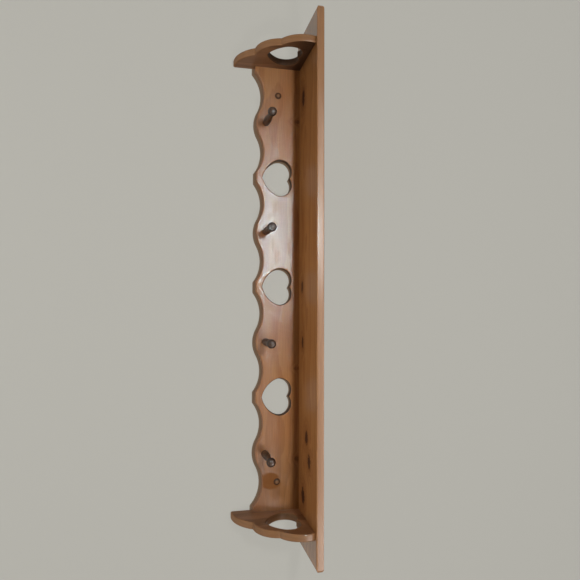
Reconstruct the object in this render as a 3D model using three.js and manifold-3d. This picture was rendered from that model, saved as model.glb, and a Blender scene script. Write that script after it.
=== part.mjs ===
// Wall plate rack in stained and varnished pine. A shelf with a plate groove lies on a back board and on two
// lobed end brackets. The board has a scalloped lower edge, heart cut-outs and four turned pegs.
// Millimetres, +Z up, +X to the right seen from the front. The wall is the plane Y = 0, the front faces -Y,
// and the origin is the centre of the shelf's back edge.
import * as THREE from 'three';
import { mergeVertices } from 'three/addons/utils/BufferGeometryUtils.js';
import Module from 'manifold-3d';

// Boards: every board is planed from the same stock.
const boardThickness = 12.7;
const shelfDepth = 131;
const shelfOverhang = 49;    // beyond the outer face of each bracket
const shelfCornerRadius = 7;
const shelfEdgeRadius = 1.8;
const shelfEndRadius = 6;    // of the two ends, which are rounded above and below

// Plate groove in the shelf's top, cut with a round-nosed cutter.
const grooveWidth = 9.6;
const grooveDepth = 5;
const grooveFromWall = 38;
const grooveEndMargin = 62;

// Back board: hearts at one pitch, with a flat tab below each heart and a round crest below each peg.
const heartPitch = 198;
const heartCount = 3;
const boardEndMargin = 3;
const boardHeight = 79.5;
const tabWidth = 19;
const endTabDrop = 3.2;      // of the tabs against the brackets, below the others
const hollowDepth = 13;
const hollowFromHeart = 47;
const boardEdgeRadius = 1.2;
const boardHeart = { halfWidth: 32.8, height: 53, lobeRadius: 20.5, sideRadius: 45, tipBelowShelf: 67.9 };

// End brackets: three convex lobes that meet in two sharp cusps.
const bracketDrop = 121;
const bracketReach = 124.6;
const bracketEdgeRadius = 2.4;
const lowerLobe = { radius: 64, fromWall: 2.5 };
const middleLobe = { radius: 45.8, fromWall: 56.7, belowShelf: 44.7 };
const upperLobe = { radius: 46.5, belowShelf: 13.5 };
const bracketHeart = { halfWidth: 35.2, height: 57.2, lobeRadius: 22, sideRadius: 58, tipBelowShelf: 69.2 };
const bracketHeartFromWall = 62.5;

// Turned pegs, glued with a tenon into holes through the board.
const pegBelowShelf = 62.5;
const pegProjection = 65.5;
const tenonRadius = 4.7;
const tenonChamfer = 0.6;
const pegBaseRadius = 6;
const pegSwell = { radius: 6.7, fromBoard: 19 };
const pegShoulder = { radius: 5.5, fromBoard: 37 };
const pegNeck = { radius: 3.9, length: 1.5, step: 0.3 };
const knobRadius = 7.9;
const knobThickness = 13;
const knobFace = { radius: 5.5, rise: 1.5 };
const knobRing = { radius: 4.5, width: 0.7, depth: 0.5 };

// Wall screws and the button plugs that cover them.
const wallScrewFromBracket = 50.6;
const wallScrewBelowShelf = 40.3;
const wallCounterboreDepth = 7;
const wallScrew = {
  headRadius: 4.1, headHeight: 2.8, shankRadius: 2.1, length: 38, tip: 7,
  recessRadius: 2.2, recessWidth: 1, recessDepth: 1.2,
};
const buttonRadius = 6;
const buttonHeight = 2.6;

// Shelf screws, set below flush wood plugs.
const plugRadius = 4.7;
const shelfCounterboreDepth = 5.4;
const shelfScrew = {
  headRadius: 3.6, headHeight: 2.6, shankRadius: 1.75, length: 30, tip: 6,
  recessRadius: 1.9, recessWidth: 0.9, recessDepth: 1.2,
};
const bracketScrewsFromWall = [14, 110];

// Dowels between each bracket and the end of the back board.
const dowelRadius = 3;
const dowelInBracket = 8;
const dowelInBoard = 20;
const dowelsBelowShelf = [22, 58];

const fitGap = 0.3;        // round each plug, tenon, screw and dowel in its hole
const seatGap = 0.3;       // under each head and shoulder
const trim = 6;            // waste left on a blank's straight edges before they are sawn square
const arcSteps = 5;
const edgeSteps = 2;
const stemSteps = 8;
const knobSteps = 7;
const turnedSides = 18;
const screwSides = 12;

const span = (heartCount + 1) * heartPitch + 2 * boardEndMargin;
const shelfLength = span + 2 * boardThickness + 2 * shelfOverhang;
const shelfTop = boardThickness / 2;
const shelfUnderside = -boardThickness / 2;
const screwReach = shelfScrew.length - (boardThickness - shelfCounterboreDepth) + seatGap;

const heartPlaces = Array.from({ length: heartCount }, (_, i) => (i - (heartCount - 1) / 2) * heartPitch);
const pegPlaces = Array.from({ length: heartCount + 1 }, (_, i) => (i - heartCount / 2) * heartPitch);
const wallScrewPlaces = [-1, 1].map((side) => side * (span / 2 - wallScrewFromBracket));
const bracketMiddles = [-1, 1].map((side) => side * (span + boardThickness) / 2);
const shelfScrewPlaces = [
  ...pegPlaces.map((x) => [x, -boardThickness / 2]),
  ...bracketMiddles.flatMap((x) => bracketScrewsFromWall.map((fromWall) => [x, -fromWall])),
];

const wasm = await Module();
wasm.setup();

// A closed geometry as a solid, with shared vertices merged and triangles without area left out.
function toSolid(geometry) {
  const bare = geometry.clone();
  bare.deleteAttribute('normal');
  bare.deleteAttribute('uv');
  const merged = mergeVertices(bare, 1e-4);
  const corners = Array.from(merged.index.array);
  const kept = [];
  for (let i = 0; i < corners.length; i += 3) {
    const [a, b, c] = corners.slice(i, i + 3);
    if (a !== b && b !== c && c !== a) kept.push(a, b, c);
  }
  return new wasm.Manifold(new wasm.Mesh({
    numProp: 3,
    vertProperties: merged.attributes.position.array,
    triVerts: new Uint32Array(kept),
  }));
}

function toGeometry(solid) {
  const mesh = solid.getMesh();
  const geometry = new THREE.BufferGeometry();
  geometry.setAttribute('position', new THREE.BufferAttribute(new Float32Array(mesh.vertProperties), 3));
  geometry.setIndex(new THREE.BufferAttribute(new Uint32Array(mesh.triVerts), 1));
  return geometry;
}

function box(low, high) {
  const size = high.map((value, i) => value - low[i]);
  const geometry = new THREE.BoxGeometry(...size);
  geometry.translate(...low.map((value, i) => value + size[i] / 2));
  return toSolid(geometry);
}

// A solid of revolution about the local Y axis, from a profile of [radius, height] points.
function turned(profile, sides) {
  const points = profile.map(([radius, height]) => new THREE.Vector2(radius, height));
  return new THREE.LatheGeometry(points, sides);
}

// A round hole or pin between two heights on the local Y axis.
function cylinder(radius, from, to, sides) {
  return turned([[0, from], [radius, from], [radius, to], [0, to]], sides);
}

// Points of an arc in a turned profile, in degrees from the +radius axis.
function profileArc(radius, height, size, fromDegrees, toDegrees, steps) {
  return Array.from({ length: steps + 1 }, (_, i) => {
    const angle = THREE.MathUtils.degToRad(fromDegrees + (toDegrees - fromDegrees) * i / steps);
    return [radius + size * Math.cos(angle), height + size * Math.sin(angle)];
  });
}

// Where two circles cross: left (side 1) or right (-1) of the line from the first centre to the second.
function circlesCross(a, radiusA, b, radiusB, side) {
  const apart = a.distanceTo(b);
  const along = (apart ** 2 + radiusA ** 2 - radiusB ** 2) / (2 * apart);
  const across = side * Math.sqrt(radiusA ** 2 - along ** 2);
  const unit = b.clone().sub(a).divideScalar(apart);
  return new THREE.Vector2(
    a.x + unit.x * along - unit.y * across,
    a.y + unit.y * along + unit.x * across,
  );
}

function arcTo(path, centre, radius, end, clockwise) {
  const start = path.currentPoint.clone().sub(centre);
  const stop = end.clone().sub(centre);
  path.absarc(centre.x, centre.y, radius, start.angle(), stop.angle(), clockwise);
}

// A heart with its tip down: each side is a long arc from the tip that runs smoothly into a round lobe.
function heartPath(middle, heart) {
  const tip = new THREE.Vector2(middle, -heart.tipBelowShelf);
  const path = new THREE.Path();
  path.moveTo(tip.x, tip.y);
  const halves = [1, -1].map((side) => {
    const lobe = new THREE.Vector2(
      tip.x + side * (heart.halfWidth - heart.lobeRadius),
      tip.y + heart.height - heart.lobeRadius,
    );
    const flank = circlesCross(tip, heart.sideRadius, lobe, heart.sideRadius - heart.lobeRadius, side);
    const join = lobe.clone().sub(flank).setLength(heart.sideRadius).add(flank);
    return { lobe, flank, join };
  });
  const [right, left] = halves;
  const notchRise = Math.sqrt(heart.lobeRadius ** 2 - (right.lobe.x - tip.x) ** 2);
  const notch = new THREE.Vector2(tip.x, right.lobe.y + notchRise);
  arcTo(path, right.flank, heart.sideRadius, right.join, false);
  arcTo(path, right.lobe, heart.lobeRadius, notch, false);
  arcTo(path, left.lobe, heart.lobeRadius, left.join, false);
  arcTo(path, left.flank, heart.sideRadius, tip, false);
  return path;
}

// A board cut to an outline, with both arrises of its sawn curves eased, lying on local z = 0.
function shapedBoard(outline, edgeRadius) {
  return toSolid(new THREE.ExtrudeGeometry(outline, {
    depth: boardThickness - 2 * edgeRadius,
    bevelEnabled: true,
    bevelThickness: edgeRadius,
    bevelSize: edgeRadius,
    bevelOffset: -edgeRadius,
    bevelSegments: edgeSteps,
    curveSegments: arcSteps,
  }).translate(0, 0, edgeRadius));
}

// Holes across a shaped board, that is along its local z axis. Depths are from its front face.
function crossHole(radius, depth, x, y) {
  const hole = cylinder(radius, boardThickness - depth, boardThickness + trim, turnedSides);
  return toSolid(hole.rotateX(Math.PI / 2).translate(x, y, 0));
}

// The scalloped edge goes from a flat tab into a hollow and swells into a round crest half a pitch away.
function boardOutline() {
  const tabLevel = -boardHeight;
  const endLevel = tabLevel - endTabDrop;
  const tabHalf = tabWidth / 2;
  const hollowRadius = ((hollowFromHeart - tabHalf) ** 2 + hollowDepth ** 2) / (2 * hollowDepth);
  const toCrest = heartPitch / 2 - hollowFromHeart;
  const crestRadius = (toCrest ** 2 + hollowDepth ** 2) / (2 * hollowDepth) - hollowRadius;
  const bendShare = hollowRadius / (hollowRadius + crestRadius);
  const outline = new THREE.Shape();
  outline.moveTo(-span / 2 - trim, trim);
  outline.lineTo(-span / 2 - trim, endLevel);
  pegPlaces.forEach((crestX) => {
    const crest = new THREE.Vector2(crestX, tabLevel + crestRadius);
    const sides = [-1, 1].map((side) => {
      const axis = crestX + side * heartPitch / 2;
      const hollow = new THREE.Vector2(axis - side * hollowFromHeart, tabLevel + hollowDepth - hollowRadius);
      const bend = hollow.clone().lerp(crest, bendShare);
      const level = Math.abs(axis) + tabHalf < span / 2 ? tabLevel : endLevel;
      const reach = Math.sqrt(hollowRadius ** 2 - (hollow.y - level) ** 2);
      const corner = new THREE.Vector2(hollow.x + side * reach, level);
      return { hollow, bend, corner };
    });
    const [before, after] = sides;
    outline.lineTo(before.corner.x, before.corner.y);
    arcTo(outline, before.hollow, hollowRadius, before.bend, true);
    arcTo(outline, crest, crestRadius, after.bend, false);
    arcTo(outline, after.hollow, hollowRadius, after.corner, true);
  });
  outline.lineTo(span / 2 + trim, endLevel);
  outline.lineTo(span / 2 + trim, trim);
  outline.holes = heartPlaces.map((x) => heartPath(x, boardHeart));
  return outline;
}

function makeBackBoard() {
  const low = -boardHeight - endTabDrop - trim;
  const blank = box([-span / 2, low, -trim], [span / 2, 0, boardThickness + trim]);
  let board = shapedBoard(boardOutline(), boardEdgeRadius).intersect(blank);
  pegPlaces.forEach((x) => {
    board = board.subtract(crossHole(tenonRadius + fitGap, boardThickness + trim, x, -pegBelowShelf));
    const screwHole = cylinder(shelfScrew.shankRadius + fitGap, -screwReach, trim, screwSides);
    board = board.subtract(toSolid(screwHole.translate(x, 0, boardThickness / 2)));
  });
  wallScrewPlaces.forEach((x) => {
    const y = -wallScrewBelowShelf;
    board = board.subtract(crossHole(plugRadius + fitGap, wallCounterboreDepth, x, y));
    board = board.subtract(crossHole(wallScrew.shankRadius + fitGap, boardThickness + trim, x, y));
  });
  [-1, 1].forEach((side) => dowelsBelowShelf.forEach((depth) => {
    const mouth = side * span / 2;
    const hole = cylinder(dowelRadius + fitGap, -dowelInBoard - seatGap, trim, screwSides);
    hole.rotateZ(-side * Math.PI / 2).translate(mouth, -depth, boardThickness / 2);
    board = board.subtract(toSolid(hole));
  }));
  return toGeometry(board);
}

// The bracket's outline in distance from the wall and height, with the shelf's underside at height 0.
function bracketOutline() {
  const lower = new THREE.Vector2(lowerLobe.fromWall, lowerLobe.radius - bracketDrop);
  const middle = new THREE.Vector2(middleLobe.fromWall, -middleLobe.belowShelf);
  const upper = new THREE.Vector2(bracketReach - upperLobe.radius, -upperLobe.belowShelf);
  const lowerCusp = circlesCross(lower, lowerLobe.radius, middle, middleLobe.radius, -1);
  const upperCusp = circlesCross(middle, middleLobe.radius, upper, upperLobe.radius, -1);
  const topLean = Math.sqrt(upperLobe.radius ** 2 - (trim - upper.y) ** 2);
  const outline = new THREE.Shape();
  outline.moveTo(-trim, -bracketDrop);
  outline.lineTo(lower.x, -bracketDrop);
  arcTo(outline, lower, lowerLobe.radius, lowerCusp, false);
  arcTo(outline, middle, middleLobe.radius, upperCusp, false);
  arcTo(outline, upper, upperLobe.radius, new THREE.Vector2(upper.x + topLean, trim), false);
  outline.lineTo(-trim, trim);
  outline.holes = [heartPath(bracketHeartFromWall, bracketHeart)];
  return outline;
}

// Both brackets are sawn alike. The dowel holes are in the face towards the board.
function makeBracket(side) {
  const blank = box([0, -bracketDrop - trim, -trim], [bracketReach + trim, 0, boardThickness + trim]);
  let bracket = shapedBoard(bracketOutline(), bracketEdgeRadius).intersect(blank);
  bracketScrewsFromWall.forEach((fromWall) => {
    const hole = cylinder(shelfScrew.shankRadius + fitGap, -screwReach, trim, screwSides);
    bracket = bracket.subtract(toSolid(hole.translate(fromWall, 0, boardThickness / 2)));
  });
  dowelsBelowShelf.forEach((depth) => {
    const inner = side < 0 ? 0 : boardThickness;
    const hole = cylinder(dowelRadius + fitGap, -trim, dowelInBracket + seatGap, screwSides);
    hole.rotateX(side < 0 ? Math.PI / 2 : -Math.PI / 2).translate(boardThickness / 2, -depth, inner);
    bracket = bracket.subtract(toSolid(hole));
  });
  return toGeometry(bracket);
}

// The shelf in plan: square at the wall, with its two front corners rounded.
function makeShelf() {
  const half = shelfLength / 2;
  const turn = shelfCornerRadius;
  const outline = new THREE.Shape();
  outline.moveTo(-half, trim);
  outline.lineTo(-half, turn - shelfDepth);
  outline.absarc(turn - half, turn - shelfDepth, turn, Math.PI, 1.5 * Math.PI, false);
  outline.lineTo(half - turn, -shelfDepth);
  outline.absarc(half - turn, turn - shelfDepth, turn, 1.5 * Math.PI, 2 * Math.PI, false);
  outline.lineTo(half, trim);
  const blank = box([-half - trim, -shelfDepth - trim, -trim], [half + trim, 0, boardThickness + trim]);
  let shelf = shapedBoard(outline, shelfEdgeRadius).intersect(blank).intersect(roundedEnds());
  shelf = shelf.subtract(plateGroove());
  shelfScrewPlaces.forEach(([x, y]) => {
    shelf = shelf.subtract(crossHole(plugRadius + fitGap, shelfCounterboreDepth, x, y));
    shelf = shelf.subtract(crossHole(shelfScrew.shankRadius + fitGap, boardThickness + trim, x, y));
  });
  return toGeometry(shelf);
}

// A bar as long and as thick as the shelf, with both ends rounded above and below.
function roundedEnds() {
  const turn = shelfEndRadius;
  const reach = shelfLength / 2 - turn;
  const section = new THREE.Shape();
  section.moveTo(-reach, 0);
  section.absarc(reach, turn, turn, -Math.PI / 2, 0, false);
  section.absarc(reach, boardThickness - turn, turn, 0, Math.PI / 2, false);
  section.absarc(-reach, boardThickness - turn, turn, Math.PI / 2, Math.PI, false);
  section.absarc(-reach, turn, turn, Math.PI, 1.5 * Math.PI, false);
  const bar = new THREE.ExtrudeGeometry(section, {
    depth: shelfDepth + 2 * trim,
    bevelEnabled: false,
    curveSegments: arcSteps,
  });
  return toSolid(bar.rotateX(Math.PI / 2).translate(0, trim, 0));
}

// A round-bottomed channel with rounded ends, open at the shelf's top.
function plateGroove() {
  const radius = grooveWidth / 2;
  const floor = boardThickness - grooveDepth;
  const half = shelfLength / 2 - grooveEndMargin - radius;
  const section = new THREE.Shape();
  section.moveTo(-radius, boardThickness + trim);
  section.lineTo(-radius, floor + radius);
  section.absarc(0, floor + radius, radius, Math.PI, 2 * Math.PI, false);
  section.lineTo(radius, boardThickness + trim);
  const channel = new THREE.ExtrudeGeometry(section, {
    depth: 2 * half,
    bevelEnabled: false,
    curveSegments: arcSteps,
  });
  channel.rotateX(Math.PI / 2).rotateZ(Math.PI / 2).translate(-half, -grooveFromWall, 0);
  const nose = turned([
    ...profileArc(0, floor + radius, radius, -90, 0, arcSteps),
    [radius, boardThickness + trim], [0, boardThickness + trim],
  ], turnedSides).rotateX(Math.PI / 2);
  return [-half, half].reduce(
    (cutter, x) => cutter.add(toSolid(nose.clone().translate(x, -grooveFromWall, 0))),
    toSolid(channel),
  );
}

// Peg from the tenon's end to the knob: a swelling stem, a thin neck and a round knob with a turned ring.
function makePeg() {
  const seat = boardThickness + seatGap;
  const tip = boardThickness + pegProjection;
  const knobBack = tip - knobThickness;
  const stem = new THREE.SplineCurve([
    new THREE.Vector2(pegBaseRadius, seat),
    new THREE.Vector2(pegSwell.radius, boardThickness + pegSwell.fromBoard),
    new THREE.Vector2(pegShoulder.radius, boardThickness + pegShoulder.fromBoard),
    new THREE.Vector2(pegNeck.radius, knobBack - pegNeck.length),
  ]).getPoints(stemSteps).map((point) => [point.x, point.y]);
  // The knob's side is an oval arc from just above the neck to the rim of its shallow domed face.
  const start = -Math.acos((pegNeck.radius + pegNeck.step) / knobRadius);
  const stop = Math.acos(knobFace.radius / knobRadius);
  const halfHeight = (knobThickness - knobFace.rise) / (Math.sin(stop) + 1);
  const knob = Array.from({ length: knobSteps + 1 }, (_, i) => {
    const angle = start + (stop - start) * i / knobSteps;
    return [knobRadius * Math.cos(angle), knobBack + halfHeight * (1 + Math.sin(angle))];
  });
  const onFace = (radius, depth = 0) => {
    const fall = knobFace.rise * (radius / knobFace.radius) ** 2;
    return [radius, tip - fall - depth];
  };
  return turned([
    [0, seatGap],
    [tenonRadius - tenonChamfer, seatGap],
    [tenonRadius, seatGap + tenonChamfer],
    [tenonRadius, seat],
    ...stem,
    ...knob,
    onFace(knobRing.radius + knobRing.width / 2),
    onFace(knobRing.radius, knobRing.depth),
    onFace(knobRing.radius - knobRing.width / 2),
    onFace(knobRing.radius / 2),
    onFace(0),
  ], turnedSides);
}

// Mushroom plug: a shallow dome on a short pin that fills the counterbore above the screw.
function makeButtonPlug() {
  const pinLength = wallCounterboreDepth - wallScrew.headHeight - 2 * seatGap;
  const domeRadius = (buttonRadius ** 2 + buttonHeight ** 2) / (2 * buttonHeight);
  const edge = THREE.MathUtils.radToDeg(Math.asin(buttonRadius / domeRadius));
  return turned([
    [0, -pinLength],
    [plugRadius, -pinLength],
    [plugRadius, seatGap],
    [buttonRadius, seatGap],
    ...profileArc(0, seatGap + buttonHeight - domeRadius, domeRadius, 90 - edge, 90, arcSteps),
  ], turnedSides);
}

// Pan-head screw with a cross recess, its head's top at height 0 and its point down.
function makeScrew(screw) {
  const under = -screw.headHeight;
  const body = toSolid(turned([
    [0, under - screw.length],
    [screw.shankRadius, under - screw.length + screw.tip],
    [screw.shankRadius, under],
    [screw.headRadius, under],
    [screw.headRadius, under / 2],
    [screw.recessRadius + screw.recessWidth, 0],
    [0, 0],
  ], screwSides));
  const halfWidth = screw.recessWidth / 2;
  const slots = [[screw.recessRadius, halfWidth], [halfWidth, screw.recessRadius]]
    .map(([x, z]) => box([-x, -screw.recessDepth, -z], [x, trim, z]));
  return toGeometry(body.subtract(slots[0].add(slots[1])));
}

const finishes = {
  pine: new THREE.MeshStandardMaterial({ color: 0xa0714a, roughness: 0.38 }),
  darkPine: new THREE.MeshStandardMaterial({ color: 0x7a5032, roughness: 0.4 }),
  turnedWood: new THREE.MeshStandardMaterial({ color: 0x5f4030, roughness: 0.35 }),
  rawWood: new THREE.MeshStandardMaterial({ color: 0xc9a87c, roughness: 0.7 }),
  steel: new THREE.MeshStandardMaterial({ color: 0xb9b6a8, roughness: 0.35, metalness: 1 }),
};

function named(name, geometry, finish) {
  const mesh = new THREE.Mesh(geometry, finishes[finish].clone());
  mesh.name = name;
  return mesh;
}

const rack = new THREE.Group();

const shelf = named('shelf_board', makeShelf(), 'pine');
shelf.position.z = shelfUnderside;
rack.add(shelf);

// Everything under the shelf hangs from its underside.
const hanging = new THREE.Group();
hanging.position.z = shelfUnderside;
rack.add(hanging);

const backBoard = named('back_board', makeBackBoard(), 'pine');
backBoard.rotation.x = Math.PI / 2;
hanging.add(backBoard);

[['bracket_left', -1], ['bracket_right', 1]].forEach(([name, side]) => {
  const bracket = named(name, makeBracket(side), 'darkPine');
  bracket.rotation.set(Math.PI / 2, 0, -Math.PI / 2, 'ZYX');
  bracket.position.x = side < 0 ? -span / 2 : span / 2 + boardThickness;
  hanging.add(bracket);
});

pegPlaces.forEach((x, i) => {
  const peg = named(`peg_${i + 1}`, makePeg(), 'turnedWood');
  peg.rotation.x = Math.PI;
  peg.position.set(x, 0, -pegBelowShelf);
  hanging.add(peg);
});

['left', 'right'].forEach((name, i) => {
  const button = named(`button_plug_${name}`, makeButtonPlug(), 'turnedWood');
  button.rotation.x = Math.PI;
  button.position.set(wallScrewPlaces[i], -boardThickness, -wallScrewBelowShelf);
  const screw = named(`wall_screw_${name}`, makeScrew(wallScrew), 'steel');
  screw.rotation.x = Math.PI;
  const headTop = boardThickness - wallCounterboreDepth + wallScrew.headHeight + seatGap;
  screw.position.set(wallScrewPlaces[i], -headTop, -wallScrewBelowShelf);
  hanging.add(button, screw);
});

shelfScrewPlaces.forEach(([x, y], i) => {
  const headTop = shelfTop - shelfCounterboreDepth + shelfScrew.headHeight + seatGap;
  const screw = named(`shelf_screw_${i + 1}`, makeScrew(shelfScrew), 'steel');
  screw.rotation.x = Math.PI / 2;
  screw.position.set(x, y, headTop);
  const plugLength = shelfTop - headTop - seatGap;
  const plug = named(`shelf_plug_${i + 1}`, cylinder(plugRadius, -plugLength, 0, turnedSides), 'pine');
  plug.rotation.x = Math.PI / 2;
  plug.position.set(x, y, shelfTop);
  rack.add(screw, plug);
});

['left', 'right'].forEach((name, i) => ['upper', 'lower'].forEach((level, j) => {
  const side = i * 2 - 1;
  const dowel = named(
    `dowel_${name}_${level}`, cylinder(dowelRadius, -dowelInBoard, dowelInBracket, screwSides), 'rawWood',
  );
  dowel.rotation.z = -side * Math.PI / 2;
  dowel.position.set(side * span / 2, -boardThickness / 2, -dowelsBelowShelf[j]);
  hanging.add(dowel);
}));

export default rack;
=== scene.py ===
import math
import bmesh
import bpy
from mathutils import Euler, Matrix, Vector


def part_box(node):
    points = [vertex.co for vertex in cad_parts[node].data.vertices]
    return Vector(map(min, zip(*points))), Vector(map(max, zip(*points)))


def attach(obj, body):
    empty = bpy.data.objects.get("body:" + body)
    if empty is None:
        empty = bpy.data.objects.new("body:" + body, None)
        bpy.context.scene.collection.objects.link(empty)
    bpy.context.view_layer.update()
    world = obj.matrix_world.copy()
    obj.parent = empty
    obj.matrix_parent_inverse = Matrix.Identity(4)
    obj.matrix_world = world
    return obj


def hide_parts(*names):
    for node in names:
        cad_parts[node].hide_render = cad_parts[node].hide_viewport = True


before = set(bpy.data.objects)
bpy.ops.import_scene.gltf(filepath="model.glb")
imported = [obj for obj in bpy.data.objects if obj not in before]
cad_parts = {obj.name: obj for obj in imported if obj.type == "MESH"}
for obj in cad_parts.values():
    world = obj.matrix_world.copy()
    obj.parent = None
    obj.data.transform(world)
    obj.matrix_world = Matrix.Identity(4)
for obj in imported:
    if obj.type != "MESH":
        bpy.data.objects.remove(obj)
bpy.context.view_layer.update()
body = "root"
print("frame loaded:", len(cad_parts), "nodes")

# The photograph is turned a quarter turn: its right is the rack's up.
view = {
    "place": (0.036965, -0.977035, -0.247254),
    "forward": (-0.0315, 0.9736, 0.2260),
    "right": (-0.0028, -0.2262, 0.9741),
    "focalPixels": 545.643,
    "framePixels": 580,
    "sensorMm": 36.0,
}


def placed(name, data):
    made = bpy.data.objects.new(name, data)
    bpy.context.scene.collection.objects.link(made)
    return made


def makeCamera():
    data = bpy.data.cameras.new("photoCamera")
    data.sensor_width = view["sensorMm"]
    data.lens = view["focalPixels"] / view["framePixels"] * view["sensorMm"]
    back = -Vector(view["forward"]).normalized()
    right = Vector(view["right"])
    right = (right - back * right.dot(back)).normalized()
    turn = Matrix((right, back.cross(right), back)).transposed().to_4x4()
    camera = placed("photoCamera", data)
    camera.matrix_world = Matrix.Translation(view["place"]) @ turn
    bpy.context.scene.camera = camera


makeCamera()
print("camera placed")


def tone(red, green, blue):
    # a colour as it looks on screen, 0 to 255, as the linear colour that a shader takes
    def linear(value):
        value /= 255
        return value / 12.92 if value <= 0.04045 else ((value + 0.055) / 1.055) ** 2.4
    return (linear(red), linear(green), linear(blue), 1.0)


class Wires:
    # adds nodes to one tree: a plain value sets a socket, and another node's socket is linked to it
    def __init__(self, tree):
        self.tree = tree

    def feed(self, socket, value):
        if isinstance(value, bpy.types.NodeSocket):
            self.tree.links.new(value, socket)
        else:
            socket.default_value = value

    def fill(self, node, values):
        for socket, value in values.items():
            self.feed(node.inputs[socket], value)
        return node

    def add(self, kind, values=None, **settings):
        node = self.tree.nodes.new(kind)
        for name, value in settings.items():
            setattr(node, name, value)
        return self.fill(node, values or {})

    def make(self, kind, values=None, **settings):
        # as add, but gives the node's first output
        return self.add(kind, values, **settings).outputs[0]

    def shape(self, kind, values=None, **settings):
        # the same for a node of Geometry Nodes, by its short name
        return self.make("GeometryNode" + kind, values, **settings)

    def group(self, tree, values):
        prefix = self.tree.bl_idname.removesuffix("Tree")
        return self.add(prefix + "Group", values, node_tree=tree).outputs

    def math(self, operation, *values, clamp=False):
        return self.make("ShaderNodeMath", dict(enumerate(values)), operation=operation, use_clamp=clamp)

    def plus(self, first, second):
        return self.math("ADD", first, second)

    def minus(self, first, second):
        return self.math("SUBTRACT", first, second)

    def times(self, first, second):
        return self.math("MULTIPLY", first, second)

    def over(self, first, second):
        return self.math("DIVIDE", first, second)

    def most(self, first, second):
        return self.math("MAXIMUM", first, second)

    def vector(self, operation, *values, out=0):
        return self.add("ShaderNodeVectorMath", dict(enumerate(values)), operation=operation).outputs[out]

    def combine(self, x=0.0, y=0.0, z=0.0):
        return self.make("ShaderNodeCombineXYZ", {"X": x, "Y": y, "Z": z})

    def separate(self, vector):
        return self.add("ShaderNodeSeparateXYZ", {"Vector": vector}).outputs

    def noise(self, vector, scale=1.0, detail=2.0, roughness=0.5, out=0):
        values = {"Vector": vector, "Scale": scale, "Detail": detail, "Roughness": roughness}
        return self.add("ShaderNodeTexNoise", values).outputs[out]

    def grain(self, vector, lengths, **settings):
        # noise stretched to these lengths along the three axes
        scales = tuple(1 / length for length in lengths)
        return self.noise(self.vector("MULTIPLY", vector, scales), **settings)

    def wander(self, noise, depth):
        # a noise's colour as a push to both sides along each axis
        return self.vector("MULTIPLY", self.vector("SUBTRACT", noise, (0.5, 0.5, 0.5)), depth)

    def span(self, value, low, high, toLow=0.0, toHigh=1.0, smooth=False):
        kind = "SMOOTHSTEP" if smooth else "LINEAR"
        values = {"Value": value, "From Min": low, "From Max": high, "To Min": toLow, "To Max": toHigh}
        return self.make("ShaderNodeMapRange", values, interpolation_type=kind)

    def blend(self, factor, first, second, mode="MIX"):
        # the numbers are the Mix node's colour sockets
        values = {0: factor, 6: first, 7: second}
        return self.add("ShaderNodeMix", values, data_type="RGBA", blend_type=mode).outputs[2]

    def shade(self, colour, share):
        return self.blend(1.0, colour, self.combine(share, share, share), "MULTIPLY")

    def seenRays(self):
        # 1 for what the camera sees, by itself, in a mirror or through glass
        path = self.add("ShaderNodeLightPath").outputs
        mirrored = self.most(path["Is Glossy Ray"], path["Is Transmission Ray"])
        return self.most(path["Is Camera Ray"], mirrored)

    def join(self, *parts):
        node = self.add("GeometryNodeJoinGeometry")
        for part in parts:
            self.feed(node.inputs[0], part)
        return node.outputs[0]

    def merge(self, mesh):
        return self.shape("MergeByDistance", {"Geometry": mesh, "Distance": meshSizes["merge"]})

    def drawing(self, helper):
        return self.add("GeometryNodeObjectInfo", {"Object": helper}).outputs["Geometry"]


def newTree(name, kind, inputs, outputs):
    # the names of the sockets are listed by the kind of socket
    tree = bpy.data.node_groups.new(name, kind)
    for way, sockets in (("INPUT", inputs), ("OUTPUT", outputs)):
        for socketKind, socketNames in sockets.items():
            for socketName in socketNames:
                tree.interface.new_socket(socketName, in_out=way, socket_type="NodeSocket" + socketKind)
    wires = Wires(tree)
    return tree, wires, wires.add("NodeGroupInput").outputs, wires.add("NodeGroupOutput").inputs


# Points closer than merge become one, and an edge closer than near to another piece or the wall meets it.
meshSizes = {
    "merge": 1e-6, "near": 1e-5, "onFace": 0.99, "heartStep": 0.0022, "arrisSteps": 4, "boreSides": 32,
    "sharpAngle": 35,
}


# Outlines are drawn in metres, as lists of points in the plane of the board.
def circlesCross(a, radiusA, b, radiusB, side):
    apart = (b - a).length
    along = (apart ** 2 + radiusA ** 2 - radiusB ** 2) / (2 * apart)
    across = side * math.sqrt(radiusA ** 2 - along ** 2)
    unit = (b - a) / apart
    return a + unit * along + Vector((-unit.y, unit.x)) * across


def arcBetween(centre, start, end, step):
    # anticlockwise from start up to, but without, end
    radius = (start - centre).length
    first = math.atan2(start.y - centre.y, start.x - centre.x)
    last = math.atan2(end.y - centre.y, end.x - centre.x)
    turn = (last - first) % (2 * math.pi)
    count = max(2, round(turn * radius / step))
    angles = [first + turn * i / count for i in range(count)]
    return [centre + radius * Vector((math.cos(a), math.sin(a))) for a in angles]


def heartOutline(middle, heart):
    tip = Vector((middle, -heart["tipBelowShelf"]))
    lobe = tip + Vector((heart["halfWidth"], heart["height"])) - Vector((1, 1)) * heart["lobeRadius"]
    flank = circlesCross(tip, heart["sideRadius"], lobe, heart["sideRadius"] - heart["lobeRadius"], 1)
    join = flank + (lobe - flank).normalized() * heart["sideRadius"]
    notchRise = math.sqrt(heart["lobeRadius"] ** 2 - (lobe.x - middle) ** 2)
    notch = Vector((middle, lobe.y + notchRise))
    step = meshSizes["heartStep"]
    right = arcBetween(flank, tip, join, step) + arcBetween(lobe, join, notch, step)
    left = [Vector((2 * middle - point.x, point.y)) for point in right[1:]]
    return right + [notch] + left[::-1]


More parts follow.
